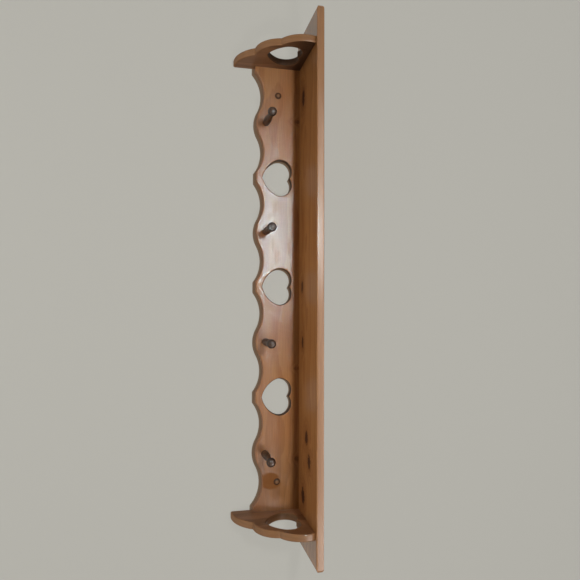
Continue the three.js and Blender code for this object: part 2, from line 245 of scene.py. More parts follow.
def outlineObject(name, loops, closed=True):
    data = bpy.data.curves.new(name, "CURVE")
    data.dimensions = "3D"
    for loop in loops:
        spline = data.splines.new("POLY")
        spline.points.add(len(loop) - 1)
        spline.use_cyclic_u = closed
        for point, place in zip(spline.points, loop):
            point.co = (place[0], place[1], 0, 1)
    return placed(name, data)


def pointsObject(name, places):
    mesh = bpy.data.meshes.new(name)
    mesh.from_pydata([tuple(place) for place in places], [], [])
    return placed(name, mesh)


def bakedMesh(holder):
    bpy.context.view_layer.update()
    graph = bpy.context.evaluated_depsgraph_get()
    return bpy.data.meshes.new_from_object(holder.evaluated_get(graph), preserve_all_data_layers=True,
                                           depsgraph=graph)


def modified(mesh, kind, **settings):
    # the mesh as this modifier leaves it
    holder = placed("holder", mesh)
    modifier = holder.modifiers.new(kind, kind)
    for name, value in settings.items():
        setattr(modifier, name, value)
    made = bakedMesh(holder)
    bpy.data.objects.remove(holder)
    return made


def rework(mesh, change):
    bm = bmesh.new()
    bm.from_mesh(mesh)
    bm.normal_update()
    change(bm)
    bm.to_mesh(mesh)
    bm.free()


def runTree(tree, name, values):
    # the tree's result as a plain mesh; helper objects among the values are removed afterwards
    holder = placed(name, bpy.data.meshes.new(name))
    modifier = holder.modifiers.new(tree.name, "NODES")
    modifier.node_group = tree
    for item in tree.interface.items_tree:
        if item.item_type == "SOCKET" and item.in_out == "INPUT" and item.name in values:
            modifier[item.identifier] = values[item.name]
    mesh = bakedMesh(holder)
    bpy.data.objects.remove(holder)
    for value in values.values():
        if isinstance(value, bpy.types.Object):
            bpy.data.objects.remove(value)
    return mesh


def asPiece(name, mesh, replaced):
    mesh.name = name
    piece = placed(name, mesh)
    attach(piece, body)
    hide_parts(*replaced)


def makeStockTree():
    # closed outlines in the local XY plane, sawn from a board that lies on that plane
    tree, wires, given, result = newTree("sawnFromStock", "GeometryNodeTree", {
        "Geometry": ["Outlines"], "Float": ["Thickness"],
    }, {"Geometry": ["Board"]})
    face = wires.shape("FillCurve", {"Curve": given["Outlines"]}, mode="NGONS")
    raised = wires.shape("ExtrudeMesh", {
        "Mesh": face, "Offset": wires.combine(z=1.0), "Offset Scale": given["Thickness"], "Individual": False,
    }, mode="FACES")
    joined = wires.join(wires.shape("FlipFaces", {"Mesh": face}), raised)
    wires.feed(result["Board"], wires.merge(joined))
    return tree


stockTree = makeStockTree()


def finishTree(wires, geometry, finish, output):
    real = wires.shape("RealizeInstances", {"Geometry": geometry})
    wires.feed(output, wires.shape("SetMaterial", {"Geometry": real, "Material": finish}))


def finishBoard(wires, given, outlines, turn, output):
    # saws the outlines from stock, then turns the board and carries it to its place
    sawn = wires.group(stockTree, {"Outlines": outlines, "Thickness": given["Thickness"]})[0]
    moved = wires.shape("Transform", {"Geometry": sawn, "Translation": given["Place"], "Rotation": turn})
    finishTree(wires, moved, given["Finish"], output)


def makePlankTree():
    # one board cut to drawn outlines
    tree, wires, given, result = newTree("cutPlank", "GeometryNodeTree", {
        "Object": ["Outline"], "Float": ["Thickness"], "Rotation": ["Turn"], "Vector": ["Place"],
        "Material": ["Finish"],
    }, {"Geometry": ["Plank"]})
    finishBoard(wires, given, wires.drawing(given["Outline"]), given["Turn"], result["Plank"])
    return tree


plankTree = makePlankTree()


def cutPlank(loops, thickness, turn, place, finish):
    return runTree(plankTree, "plank", {
        "Outline": outlineObject("plankLine", loops), "Thickness": thickness, "Turn": turn, "Place": place,
        "Finish": finish,
    })


boardSizes = {
    "hollowDepth": 0.013,
    "hollowFromHeart": 0.047,
    "tabWidth": 0.019,
    "hearts": 3,
    "step": 0.0015,
    "endDrop": 0.0032,
    "arris": 0.002,
    "counterbore": 0.005,
    "tenonHole": 0.005,
    "heart": {"halfWidth": 0.0328, "height": 0.053, "lobeRadius": 0.0205, "sideRadius": 0.045,
              "tipBelowShelf": 0.0679},
}


def makeScallopTree():
    tree, wires, given, result = newTree("scallopedBoard", "GeometryNodeTree", {
        "Object": ["Heart"], "Int": ["Hearts"], "Vector": ["Place"], "Material": ["Finish"],
        "Float": ["Span", "Height", "Thickness", "Pitch", "Step", "Hollow Depth", "Hollow Radius",
                  "Hollow From Heart", "Crest Radius", "Bend From Heart", "End Drop"],
    }, {"Geometry": ["Board"]})
    # a line of points runs along the lower edge, and its last two are the upper corners
    half = wires.times(given["Span"], 0.5)
    steps = wires.math("ROUND", wires.over(given["Span"], given["Step"]))
    line = wires.shape("MeshLine", {"Count": wires.plus(steps, 3)}, mode="OFFSET")
    index = wires.shape("InputIndex")
    along = wires.math("MINIMUM", wires.minus(wires.times(index, given["Step"]), half), half)
    back = wires.math("GREATER_THAN", index, wires.plus(steps, 1.5))
    x = wires.minus(along, wires.times(back, given["Span"]))
    # the lower edge from the nearest heart outwards: a flat tab, a hollow, and a crest at half the pitch
    halfPitch = wires.times(given["Pitch"], 0.5)
    fromHeart = wires.math("PINGPONG", x, halfPitch)

    def arcRise(radius, across):
        inside = wires.minus(wires.math("POWER", radius, 2.0), wires.math("POWER", across, 2.0))
        return wires.math("SQRT", wires.most(inside, 0.0))

    fromCrest = wires.minus(halfPitch, fromHeart)
    crest = wires.minus(given["Crest Radius"], arcRise(given["Crest Radius"], fromCrest))
    hollowAcross = wires.minus(fromHeart, given["Hollow From Heart"])
    hollowFloor = wires.minus(given["Hollow Depth"], given["Hollow Radius"])
    hollow = wires.plus(hollowFloor, arcRise(given["Hollow Radius"], hollowAcross))
    # beyond the last hollow the edge goes on down to a lower tab at the bracket
    lastAxis = wires.times(given["Pitch"], wires.times(wires.plus(given["Hearts"], 1.0), 0.5))
    lastHollow = wires.minus(lastAxis, given["Hollow From Heart"])
    atEnd = wires.math("GREATER_THAN", wires.math("ABSOLUTE", x), lastHollow)
    hollow = wires.most(hollow, wires.times(atEnd, wires.times(given["End Drop"], -1.0)))
    onCrest = wires.math("GREATER_THAN", fromHeart, given["Bend From Heart"])
    rise = wires.plus(wires.times(crest, onCrest), wires.times(hollow, wires.minus(1.0, onCrest)))
    isTop = wires.math("GREATER_THAN", index, wires.plus(steps, 0.5))
    below = wires.times(wires.minus(rise, given["Height"]), wires.minus(1.0, isTop))
    shaped = wires.shape("SetPosition", {"Geometry": line, "Position": wires.combine(x, below)})
    outline = wires.shape("MeshToCurve", {"Mesh": shaped})
    closed = wires.shape("SetSplineCyclic", {"Geometry": outline, "Cyclic": True})
    firstHeart = wires.times(wires.minus(given["Hearts"], 1.0), -0.5)
    row = wires.shape("MeshLine", {
        "Count": given["Hearts"], "Start Location": wires.combine(wires.times(firstHeart, given["Pitch"])),
        "Offset": wires.combine(given["Pitch"]),
    }, mode="OFFSET")
    hearts = wires.shape("InstanceOnPoints", {"Points": row, "Instance": wires.drawing(given["Heart"])})
    cut = wires.shape("RealizeInstances", {"Geometry": hearts})
    finishBoard(wires, given, wires.join(cut, closed), Euler((math.pi / 2, 0, 0)), result["Board"])
    return tree


def easeArrises(mesh, axis, radius, meets):
    # rounds the edges between a board's sawn sides and its two faces, whose normals lie along axis, but not
    # where it meets another piece
    def weigh(bm):
        weight = bm.edges.layers.float.new("bevel_weight_edge")
        for edge in bm.edges:
            onFace = [abs(face.normal.dot(Vector(axis))) > meshSizes["onFace"] for face in edge.link_faces]
            if len(onFace) == 2 and onFace.count(True) == 1:
                edge[weight] = 0 if meets((edge.verts[0].co + edge.verts[1].co) / 2) else 1

    rework(mesh, weigh)
    return modified(mesh, "BEVEL", limit_method="WEIGHT", width=radius, segments=meshSizes["arrisSteps"],
                    use_clamp_overlap=False)


def skin(bm, rings):
    # faces from each ring of points to the next; a ring may be a single point
    for lower, upper in zip(rings, rings[1:]):
        count = max(len(lower), len(upper))
        for i in range(count):
            j = (i + 1) % count
            corners = [lower[i % len(lower)], lower[j % len(lower)],
                       upper[j % len(upper)], upper[i % len(upper)]]
            bm.faces.new(dict.fromkeys(corners))


def revolve(bm, profile, place, turn, sides):
    # a solid of revolution about the local Z axis, from points of radius and height that end on the axis
    rings = []
    for radius, height in profile:
        count = sides if radius > 0 else 1
        angles = [2 * math.pi * i / sides for i in range(count)]
        local = [Vector((radius * math.cos(a), radius * math.sin(a), height)) for a in angles]
        rings.append([bm.verts.new(turn @ point + place) for point in local])
    skin(bm, rings)


def boreCutter(name, bores, addMore=None):
    # a bore is a place, an axis and its steps, each a radius with the heights where it starts and stops
    bm = bmesh.new()
    for place, axis, steps in bores:
        profile = [(0, steps[0][1])]
        for radius, start, stop in steps:
            profile += [(radius, start), (radius, stop)]
        profile.append((0, steps[-1][2]))
        turn = Vector(axis).to_track_quat("Z", "Y").to_matrix()
        revolve(bm, profile, Vector(place), turn, meshSizes["boreSides"])
    if addMore:
        addMore(bm)
    bmesh.ops.recalc_face_normals(bm, faces=bm.faces)
    mesh = bpy.data.meshes.new(name)
    bm.to_mesh(mesh)
    bm.free()
    return mesh


def combined(mesh, toolMesh, operation):
    tool = placed("cutter", toolMesh)
    made = modified(mesh, "BOOLEAN", operation=operation, solver="EXACT", object=tool)
    bpy.data.objects.remove(tool)
    return made


def shadeSmooth(mesh):
    mesh.polygons.foreach_set("use_smooth", [True] * len(mesh.polygons))
    mesh.set_sharp_from_angle(angle=math.radians(meshSizes["sharpAngle"]))


def cutAndShade(mesh, cutter):
    # takes the cutter away from the board, gives the cut the board's finish, and keeps flat faces flat
    made = combined(mesh, cutter, "DIFFERENCE")
    finish = next(material for material in made.materials if material)
    made.materials.clear()
    made.materials.append(finish)
    made.polygons.foreach_set("material_index", [0] * len(made.polygons))
    shadeSmooth(made)
    return modified(made, "WEIGHTED_NORMAL", keep_sharp=True, weight=100)


print("tools ready")


def centreOf(node):
    low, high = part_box(node)
    return (low + high) / 2


def onFront(node):
    # a node's place on the back board's front
    return centreOf(node).x, boardFront, centreOf(node).z


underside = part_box("shelf_board")[0].z
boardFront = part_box("back_board")[0].y
pegNodes = [f"peg_{i}" for i in range(1, 5)]
buttonNodes = ["button_plug_left", "button_plug_right"]
plugNodes = [f"shelf_plug_{i}" for i in range(1, 9)]
shelfScrewNodes = [f"shelf_screw_{i}" for i in range(1, 9)]
wallScrewNodes = ["wall_screw_left", "wall_screw_right"]
dowelNodes = [f"dowel_{side}_{level}" for side in ("left", "right") for level in ("upper", "lower")]
# A cutter starts clear of the face and goes through the board.
holeSizes = {
    "fit": 0.0003, "shelfScrew": 0.00205, "wallScrew": 0.0024, "wallCounterbore": 0.007,
    "shelfCounterbore": 0.0054, "clear": 0.005, "through": 0.03,
}


def lengthwiseBores(nodes, axis, radius=None):
    # one plain hole round each of these nodes, along the given axis
    bores = []
    for node in nodes:
        low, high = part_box(node)
        size = high - low
        along = abs(size.dot(Vector(axis))) / 2 + holeSizes["fit"]
        across = radius or min(size) / 2 + holeSizes["fit"]
        bores.append((centreOf(node), axis, [(across, -along, along)]))
    return bores


# The lengths of each pattern are in millimetres, along the grain and twice across it.
figureSizes = {
    "sway": (260, 90, 90), "ripple": (70, 8, 8), "fibre": (40, 0.8, 0.8), "blotch": (190, 26, 26),
    "growth": 24.0, "rippleDepth": 0.5, "growthDepth": 2.2, "lateRise": (0.25, 0.92),
    "lateFall": (0.93, 1.0), "knotScale": 0.22, "knotEdge": (0.7, 1.0), "sawnTurn": (0.6, 0.985),
}


def makePineFigure():
    # growth rings round a pith line along X, seen wherever the board's surface cuts them; in millimetres
    tree, wires, given, result = newTree("pineFigure", "ShaderNodeTree", {
        "Vector": ["Vector", "Pith"], "Float": ["Ring Width", "Drift", "Bend"],
    }, {"Float": ["Late", "Fibre", "Tone"]})
    place, sizes = given["Vector"], figureSizes
    drift = wires.wander(wires.grain(place, sizes["sway"], out=1),
                         wires.combine(0.0, given["Drift"], given["Drift"]))
    fromPith = wires.vector("ADD", wires.vector("SUBTRACT", place, given["Pith"]), drift)
    radius = wires.vector("LENGTH", wires.vector("MULTIPLY", fromPith, (0.0, 1.0, 1.0)), out=1)
    growth = wires.noise(wires.combine(wires.over(radius, sizes["growth"])))
    count = wires.over(wires.plus(radius, given["Bend"]), given["Ring Width"])
    count = wires.plus(count, wires.times(wires.grain(place, sizes["ripple"]), sizes["rippleDepth"]))
    phase = wires.math("FRACT", wires.plus(count, wires.times(growth, sizes["growthDepth"])))
    late = wires.times(wires.span(phase, *sizes["lateRise"], smooth=True),
                       wires.span(phase, *sizes["lateFall"], 1.0, 0.0, smooth=True))
    wires.feed(result["Late"], late)
    wires.feed(result["Fibre"], wires.grain(place, sizes["fibre"], detail=3.0, roughness=0.6))
    wires.feed(result["Tone"], wires.grain(place, sizes["blotch"]))
    return tree


def makeKnotField():
    # one knot: its dark core, and the halo where the wood is stained and the rings are pushed aside
    tree, wires, given, result = newTree("knotField", "ShaderNodeTree", {
        "Vector": ["Vector", "Place", "Reach"], "Float": ["Spread", "Ragged"],
    }, {"Float": ["Core", "Halo"]})
    ragged = wires.wander(wires.noise(given["Vector"], figureSizes["knotScale"], out=1),
                          wires.combine(given["Ragged"], given["Ragged"], given["Ragged"]))
    away = wires.vector("DIVIDE", wires.vector("SUBTRACT", given["Vector"], given["Place"]), given["Reach"])
    distance = wires.vector("LENGTH", wires.vector("ADD", away, ragged), out=1)
    falloff = wires.math("POWER", wires.over(distance, given["Spread"]), 2.0)
    wires.feed(result["Core"], wires.span(distance, *figureSizes["knotEdge"], 1.0, 0.0, smooth=True))
    wires.feed(result["Halo"], wires.math("EXPONENT", wires.times(falloff, -1.0)))
    return tree


def makeSawnMask():
    # 1 on the sawn sides and rounded arrises of a board, 0 on its planed faces, whose normal lies along Face
    tree, wires, given, result = newTree("sawnMask", "ShaderNodeTree", {"Vector": ["Normal", "Face"]},
                                         {"Float": ["Sawn"]})
    facing = wires.math("ABSOLUTE", wires.vector("DOT_PRODUCT", given["Normal"], given["Face"], out=1))
    wires.feed(result["Sawn"], wires.span(facing, *figureSizes["sawnTurn"], 1.0, 0.0, smooth=True))
    return tree


pineFigure = makePineFigure()
knotField = makeKnotField()
sawnMask = makeSawnMask()


def startMaterial(name):
    material = bpy.data.materials.new(name)
    material.use_nodes = True
    return material, Wires(material.node_tree), material.node_tree.nodes["Principled BSDF"]


def millimetres(wires, order="XYZ"):
    # the normal, and the place in millimetres with its axes in this order, so that grain can run along each
    coordinates = wires.add("ShaderNodeTexCoord").outputs
    scaled = wires.separate(wires.vector("MULTIPLY", coordinates["Object"], (1000.0, 1000.0, 1000.0)))
    named = dict(zip("XYZ", scaled))
    return coordinates["Normal"], wires.combine(*[named[letter] for letter in order])


# Facing ranges are parts of the normal. The other ranges of places are in millimetres.
varnish = {
    "knotSpread": 1.6, "patchRagged": 0.1, "patchDepth": 0.8, "patchDull": 0.9, "contrast": (0.3, 0.7),
    "pocketEdge": (1.0, 1.04), "shadeTowardsShelf": (-80.0, -15.0), "grainDepth": 0.0003, "bareRoughness": 0.6,
    "facingDown": (-0.95, -0.6), "facingWall": (-0.5, -0.1), "facingUp": (0.8, 0.98),
    "betweenBrackets": (380.0, 405.0), "underShelf": (-20.0, -17.0),
}


def makeVarnishedPine(name, look):
    material, wires, shader = startMaterial(name)
    normal, place = millimetres(wires, look["grain"])
    unturned = millimetres(wires)[1]
    along, _, height = wires.separate(unturned)
    _, facingBack, facingUp = wires.separate(normal)

    def fieldAt(middle, reach, spread, ragged):
        values = {"Vector": place, "Place": middle, "Reach": reach, "Spread": spread, "Ragged": ragged}
        return wires.group(knotField, values)

    def lay(colour, mask, layer):
        return wires.blend(wires.times(mask, look[layer + "Depth"]), colour, look[layer])

    core, halo, dull = 0.0, 0.0, 0.0
    for middle, reach, dark in look["knots"]:
        knot = fieldAt(middle, reach, varnish["knotSpread"], 1.0)
        core = wires.most(core, wires.times(knot["Core"], dark))
        halo = wires.most(halo, wires.times(knot["Halo"], dark))
    figure = wires.group(pineFigure, {
        "Vector": wires.vector("ADD", place, look["shift"]), "Pith": look["pith"],
        "Ring Width": look["ringWidth"], "Drift": look["drift"], "Bend": wires.times(halo, look["knotBend"]),
    })
    colour = lay(look["early"], figure["Late"], "late")
    colour = lay(colour, wires.span(figure["Tone"], *varnish["contrast"], smooth=True), "blotch")
    depth = look["fibreDepth"]
    colour = wires.shade(colour, wires.span(figure["Fibre"], *varnish["contrast"], 1.0 - depth, 1.0 + depth))
    colour = wires.blend(core, lay(colour, halo, "halo"), look["knot"])
    # each patch is painted shade with most of the varnish taken off: on the board beside the right bracket,
    # where no reflection falls, and along the shelf's groove
    for middle, reach, patch in look["shadePatches"]:
        field = fieldAt(middle, reach, 1.0, varnish["patchRagged"])
        dull = wires.most(dull, wires.times(field["Core"], varnish["patchDull"]))
        colour = wires.blend(wires.times(field["Core"], varnish["patchDepth"]), colour, patch)
    # painted shade darkens the wood towards the ends, where less light falls
    for start, end, share in look["ends"]:
        colour = wires.shade(colour, wires.span(along, start, end, 1.0, share, smooth=True))
    sawn = wires.group(sawnMask, {"Normal": normal, "Face": look["face"]})[0]
    # painted shade darkens the sawn sides in the pocket, as inside a heart, where shade falls
    middle, reach = look["pocketPlace"]
    away = wires.vector("DIVIDE", wires.vector("SUBTRACT", unturned, middle), reach)
    inside = wires.span(wires.vector("LENGTH", away, out=1), *varnish["pocketEdge"], 1.0, 0.0)
    pocketShade = wires.times(inside, sawn)
    planed = wires.minus(1.0, sawn)
    colour = lay(lay(colour, sawn, "sawn"), pocketShade, "pocketShade")
    # painted shade darkens planed faces towards the shelf, under which shade falls
    colour = lay(colour, wires.times(planed, wires.span(height, *varnish["shadeTowardsShelf"])), "planed")
    # the shelf's faces, the corner below it, planed bracket faces and sawn insides have had less varnish
    below = wires.times(wires.span(facingUp, *varnish["facingDown"], 1.0, 0.0), wires.span(
        wires.math("ABSOLUTE", along), *varnish["betweenBrackets"], 1.0, 0.0, smooth=True))
    inward = wires.span(facingBack, *varnish["facingWall"])
    bare = wires.plus(wires.times(below, look["bareBelow"]), wires.times(planed, look["barePlaned"]))
    bare = wires.math("ADD", bare, wires.times(wires.times(sawn, inward), look["bareSawn"]), clamp=True)
    corner = wires.span(height, *varnish["underShelf"], 0.0, look["bareCorner"], smooth=True)
    above = wires.span(facingUp, *varnish["facingUp"], 0.0, look["bareAbove"])
    for other in (dull, wires.times(pocketShade, look["pocketShadeDepth"]), corner, above):
        bare = wires.most(bare, other)
    bump = wires.make("ShaderNodeBump", {
        "Strength": look["bump"], "Distance": varnish["grainDepth"], "Height": figure["Fibre"],
    })
    wires.fill(shader, {
        "Base Color": colour, "Normal": bump, "Coat Normal": bump,
        "Coat Weight": wires.times(wires.minus(1.0, bare), look["coat"]),
        "Coat Roughness": look["coatRoughness"], "Specular IOR Level": look["sheen"],
        "Roughness": wires.span(bare, 0.0, 1.0, look["roughness"], varnish["bareRoughness"]),
    })
    return material


# A depth is how much of a tone is laid on, and bare is how much of the varnish is missing there.
pineLook = {
    "shift": (0.0, 0.0, 0.0), "knots": [], "shadePatches": [], "ends": [],
    "lateDepth": 0.5, "blotchDepth": 0.4, "fibreDepth": 0.16,
    "coat": 1.0, "roughness": 0.5, "sheen": 0.05, "bump": 0.1,
    "bareCorner": 0.0, "bareAbove": 0.0, "bareBelow": 0.0, "barePlaned": 0.0, "bareSawn": 0.0,
    "pocketPlace": ((0.0, 0.0, 0.0), (1.0, 1.0, 1.0)), "pocketShade": tone(64, 46, 34), "pocketShadeDepth": 0.0,
    "planed": tone(160, 110, 62), "planedDepth": 0.0,
}
boardLook = {
    **pineLook, "grain": "XYZ", "face": (0.0, 1.0, 0.0),
    "pith": (0.0, 52.0, -52.0), "ringWidth": 6.5, "drift": 30.0, "knotBend": 22.0,
    "early": tone(160, 110, 62), "late": tone(132, 82, 42), "blotch": tone(142, 84, 48),
    "knot": tone(70, 38, 24), "halo": tone(118, 68, 36), "haloDepth": 0.75,
    "sawn": tone(142, 104, 80), "sawnDepth": 0.85,
    "coatRoughness": 0.15, "bump": 1.0, "bareCorner": 0.8, "bareSawn": 0.95,
    "pocketPlace": ((0.0, 0.0, -38.0), (9999.0, 9999.0, 30.0)), "pocketShadeDepth": 0.9,
    "ends": [(-250.0, -410.0, 0.86), (250.0, 350.0, 0.78)],
    # painted shade beside the right bracket, where no reflection falls
    "shadePatches": [((342.0, -12.0, -59.0), (12.0, 60.0, 18.0), tone(140, 88, 44)),
                ((352.0, -12.0, -57.0), (11.0, 60.0, 20.0), tone(140, 88, 44))],
    "knots": [
        ((-303.0, -12.0, -10.0), (4.0, 20.0, 9.0), 0.4),
        ((148.0, -12.0, -9.0), (4.0, 20.0, 8.0), 0.3),
        ((310.0, -12.0, -9.0), (5.0, 20.0, 8.0), 0.4),
    ],
}
shelfLook = {
    **pineLook, "grain": "XZY", "face": (0.0, 0.0, 1.0), "shift": (900.0, 0.0, 0.0),
    "pith": (0.0, 60.0, -60.0), "ringWidth": 7.0, "drift": 40.0, "knotBend": 26.0,
    "early": tone(158, 108, 62), "late": tone(126, 76, 40), "blotch": tone(138, 88, 46),
    "knot": tone(58, 30, 18), "halo": tone(112, 64, 34), "haloDepth": 0.7,
    "sawn": tone(158, 112, 72), "sawnDepth": 0.5,
    "coatRoughness": 0.2, "bareAbove": 0.75, "bareBelow": 0.8, "ends": [(-60.0, -460.0, 0.7)],
    # painted shade along the groove
    "shadePatches": [((0.0, 1.0, -38.0), (3000.0, 5.2, 7.0), tone(112, 76, 46))],
    "knots": [
        ((-337.0, 0.0, -41.0), (19.0, 30.0, 10.0), 1.0),
        ((1.0, 0.0, -35.0), (13.0, 30.0, 7.0), 0.9),
        ((99.0, 0.0, -39.0), (12.0, 30.0, 7.0), 0.9),
        ((260.0, 0.0, -66.0), (14.0, 30.0, 10.0), 1.0),
        ((297.0, 0.0, -84.0), (14.0, 30.0, 10.0), 1.0),
        ((366.0, 0.0, -44.0), (17.0, 30.0, 12.0), 1.0),
    ],
}
bracketLook = {
    **pineLook, "grain": "ZXY", "face": (1.0, 0.0, 0.0), "shift": (2000.0, 300.0, 0.0),
    "pith": (0.0, 340.0, -60.0), "ringWidth": 6.0, "drift": 26.0, "knotBend": 0.0,
    "early": tone(140, 98, 66), "late": tone(100, 64, 38), "lateDepth": 0.6,
    "blotch": tone(104, 68, 42), "blotchDepth": 0.5, "fibreDepth": 0.1,
    "knot": tone(62, 36, 22), "halo": tone(96, 60, 34), "haloDepth": 0.6,
    "sawn": tone(138, 98, 62), "sawnDepth": 0.7,
    "coat": 0.5, "coatRoughness": 0.16, "roughness": 0.45, "sheen": 0.1, "barePlaned": 0.7, "bareSawn": 0.9,
    # the pocket and planed tones are painted shade: inside the heart, and on planed faces towards the shelf
    "pocketPlace": ((0.0, -62.5, -38.0), (9999.0, 39.0, 38.0)), "pocketShade": tone(52, 34, 22),
    "pocketShadeDepth": 0.5, "planed": tone(46, 28, 18),
}
# the left bracket is a shaded copy of the bracket finish, with painted shade on its planed faces and more in
# its heart
shadedLeftBracketLook = {**bracketLook, "planedDepth": 0.85, "pocketShadeDepth": 0.95}
plugLook = {
    **bracketLook, "grain": "XZY", "face": (0.0, 0.0, 1.0), "shift": (1500.0, 0.0, 0.0),
    "pith": (0.0, 60.0, -60.0), "ringWidth": 3.0, "drift": 20.0,
    "sawn": tone(80, 52, 34), "sawnDepth": 0.8, "pocketShadeDepth": 0.0,
}
boardFinish = makeVarnishedPine("varnishedPineBoard", boardLook)
shelfFinish = makeVarnishedPine("varnishedPineShelf", shelfLook)
shadedLeftFinish = makeVarnishedPine("varnishedPineLeftShaded", shadedLeftBracketLook)
rightFinish = makeVarnishedPine("varnishedPineRight", bracketLook)
plugFinish = makeVarnishedPine("varnishedPinePlug", plugLook)

turnedLook = {
    "dark": tone(46, 29, 19), "light": tone(84, 56, 36), "grain": (1.4, 16, 1.4), "grainDepth": 0.0002,
    "bump": 0.1, "roughness": 0.5, "sheen": 0.15, "coat": 0.6, "coatRoughness": 0.13,
    # the knob rim values paint shade and the button face values paint a highlight
    "stemCoat": 0.2, "knobDepth": 15.0, "knobFade": 2.0, "knobRimShade": 0.35, "rimShadeTurn": (-0.9, -0.55),
    "buttonHighlight": tone(122, 86, 56), "highlightTurn": (-0.97, -0.88), "buttonHeight": (-7.0, -6.0),
}


def makeTurnedWood():
    # the knobs are varnished more than their stems and the button plugs
    look = turnedLook
    material, wires, shader = startMaterial("turnedWood")
    normal, place = millimetres(wires)
    depth, facing = wires.separate(place)[1], wires.separate(normal)[1]
    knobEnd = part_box(pegNodes[0])[0].y * 1000 + look["knobDepth"]
    knob = wires.span(depth, knobEnd, knobEnd + look["knobFade"], 1.0, look["stemCoat"])
    grain = wires.grain(place, look["grain"], detail=3.0, roughness=0.6)
    colour = wires.blend(wires.span(grain, *varnish["contrast"], smooth=True), look["dark"], look["light"])
    # painted shade darkens a knob's rim, and a painted highlight makes the middle of each button plug pale
    rim = wires.span(facing, *look["rimShadeTurn"], 1.0, look["knobRimShade"], smooth=True)
    colour = wires.shade(colour, wires.most(rim, wires.span(knob, look["stemCoat"], 1.0, 1.0, 0.0)))
    onButton = wires.span(depth, *[boardFront * 1000 + height for height in look["buttonHeight"]])
    paintedHighlight = wires.times(wires.span(facing, *look["highlightTurn"], 1.0, 0.0), onButton)
    wires.fill(shader, {
        "Base Color": wires.blend(paintedHighlight, colour, look["buttonHighlight"]), "Roughness": look["roughness"],
        "Coat Weight": wires.times(knob, look["coat"]), "Coat Roughness": look["coatRoughness"],
        "Specular IOR Level": look["sheen"],
        "Normal": wires.make("ShaderNodeBump", {
            "Strength": look["bump"], "Distance": look["grainDepth"], "Height": grain,
        }),
    })
    return material


rawLook = {
    "dark": tone(196, 160, 112), "light": tone(220, 188, 142), "grain": (18, 0.7, 0.7), "roughness": 0.75,
    "sheen": 0.2,
}


def makeRawWood():
    material, wires, shader = startMaterial("rawDowelWood")
    grain = wires.grain(millimetres(wires)[1], rawLook["grain"])
    wires.fill(shader, {
        "Base Color": wires.blend(grain, rawLook["dark"], rawLook["light"]),
        "Roughness": rawLook["roughness"], "Specular IOR Level": rawLook["sheen"],
    })
    return material


steelLook = {
    "dark": tone(176, 172, 150), "light": tone(206, 202, 184), "smear": 0.6, "roughness": (0.25, 0.42),
}


def makeSteel():
    material, wires, shader = startMaterial("platedSteel")
    smear = wires.noise(millimetres(wires)[1], steelLook["smear"], 3.0)
    wires.fill(shader, {
        "Base Color": wires.blend(smear, steelLook["dark"], steelLook["light"]), "Metallic": 1.0,
        "Roughness": wires.span(smear, *varnish["contrast"], *steelLook["roughness"]),
    })
    return material


turnedFinish = makeTurnedWood()
rawFinish = makeRawWood()
steelFinish = makeSteel()
print("materials made")

scallopTree = makeScallopTree()
wallSizes = {
    "behind": 0.0035, "reach": 3.0, "tone": tone(184, 182, 174), "glow": 0.8,
    "shadow": tone(110, 90, 72), "shadowShift": (0.0018, 0.0, -0.004), "shadowLift": 0.0001,
    "shadowLonger": 0.01, "heartLift": 0.003,
}


def makeWallMaterial(name, colour):
    # seen by camera and mirror rays, and only from the front, so that the wall hides nothing from behind
    material, wires, shader = startMaterial(name)
    nodes = material.node_tree.nodes
    nodes.remove(shader)
    lit = wires.make("ShaderNodeMixShader", {
        0: wallSizes["glow"], 1: wires.make("ShaderNodeBsdfDiffuse", {"Color": colour}),
        2: wires.make("ShaderNodeEmission", {"Color": colour}),
    })
    front = wires.minus(1.0, wires.add("ShaderNodeNewGeometry").outputs["Backfacing"])
    wires.feed(nodes["Material Output"].inputs["Surface"], wires.make("ShaderNodeMixShader", {
        0: wires.times(wires.seenRays(), front), 1: wires.make("ShaderNodeBsdfTransparent"), 2: lit,
    }))
    return material


def castShadow(sawnBoard, span):
    # the back board's shadow on the wall, as a sheet with the board's outline
    lift = wallSizes["shadowLift"]
    place = Vector((0, wallSizes["behind"] - lift, underside)) + Vector(wallSizes["shadowShift"])
    finish = makeWallMaterial("shadowedWall", wallSizes["shadow"])
    mesh = sawnBoard("boardShadow", span + wallSizes["shadowLonger"], lift / 2, tuple(place), finish,
                     wallSizes["heartLift"])

    def keepFront(bm):
        unseen = [face for face in bm.faces if face.normal.y > -meshSizes["onFace"]]
        bmesh.ops.delete(bm, geom=unseen, context="FACES")

    rework(mesh, keepFront)
    placed("boardShadow", mesh)


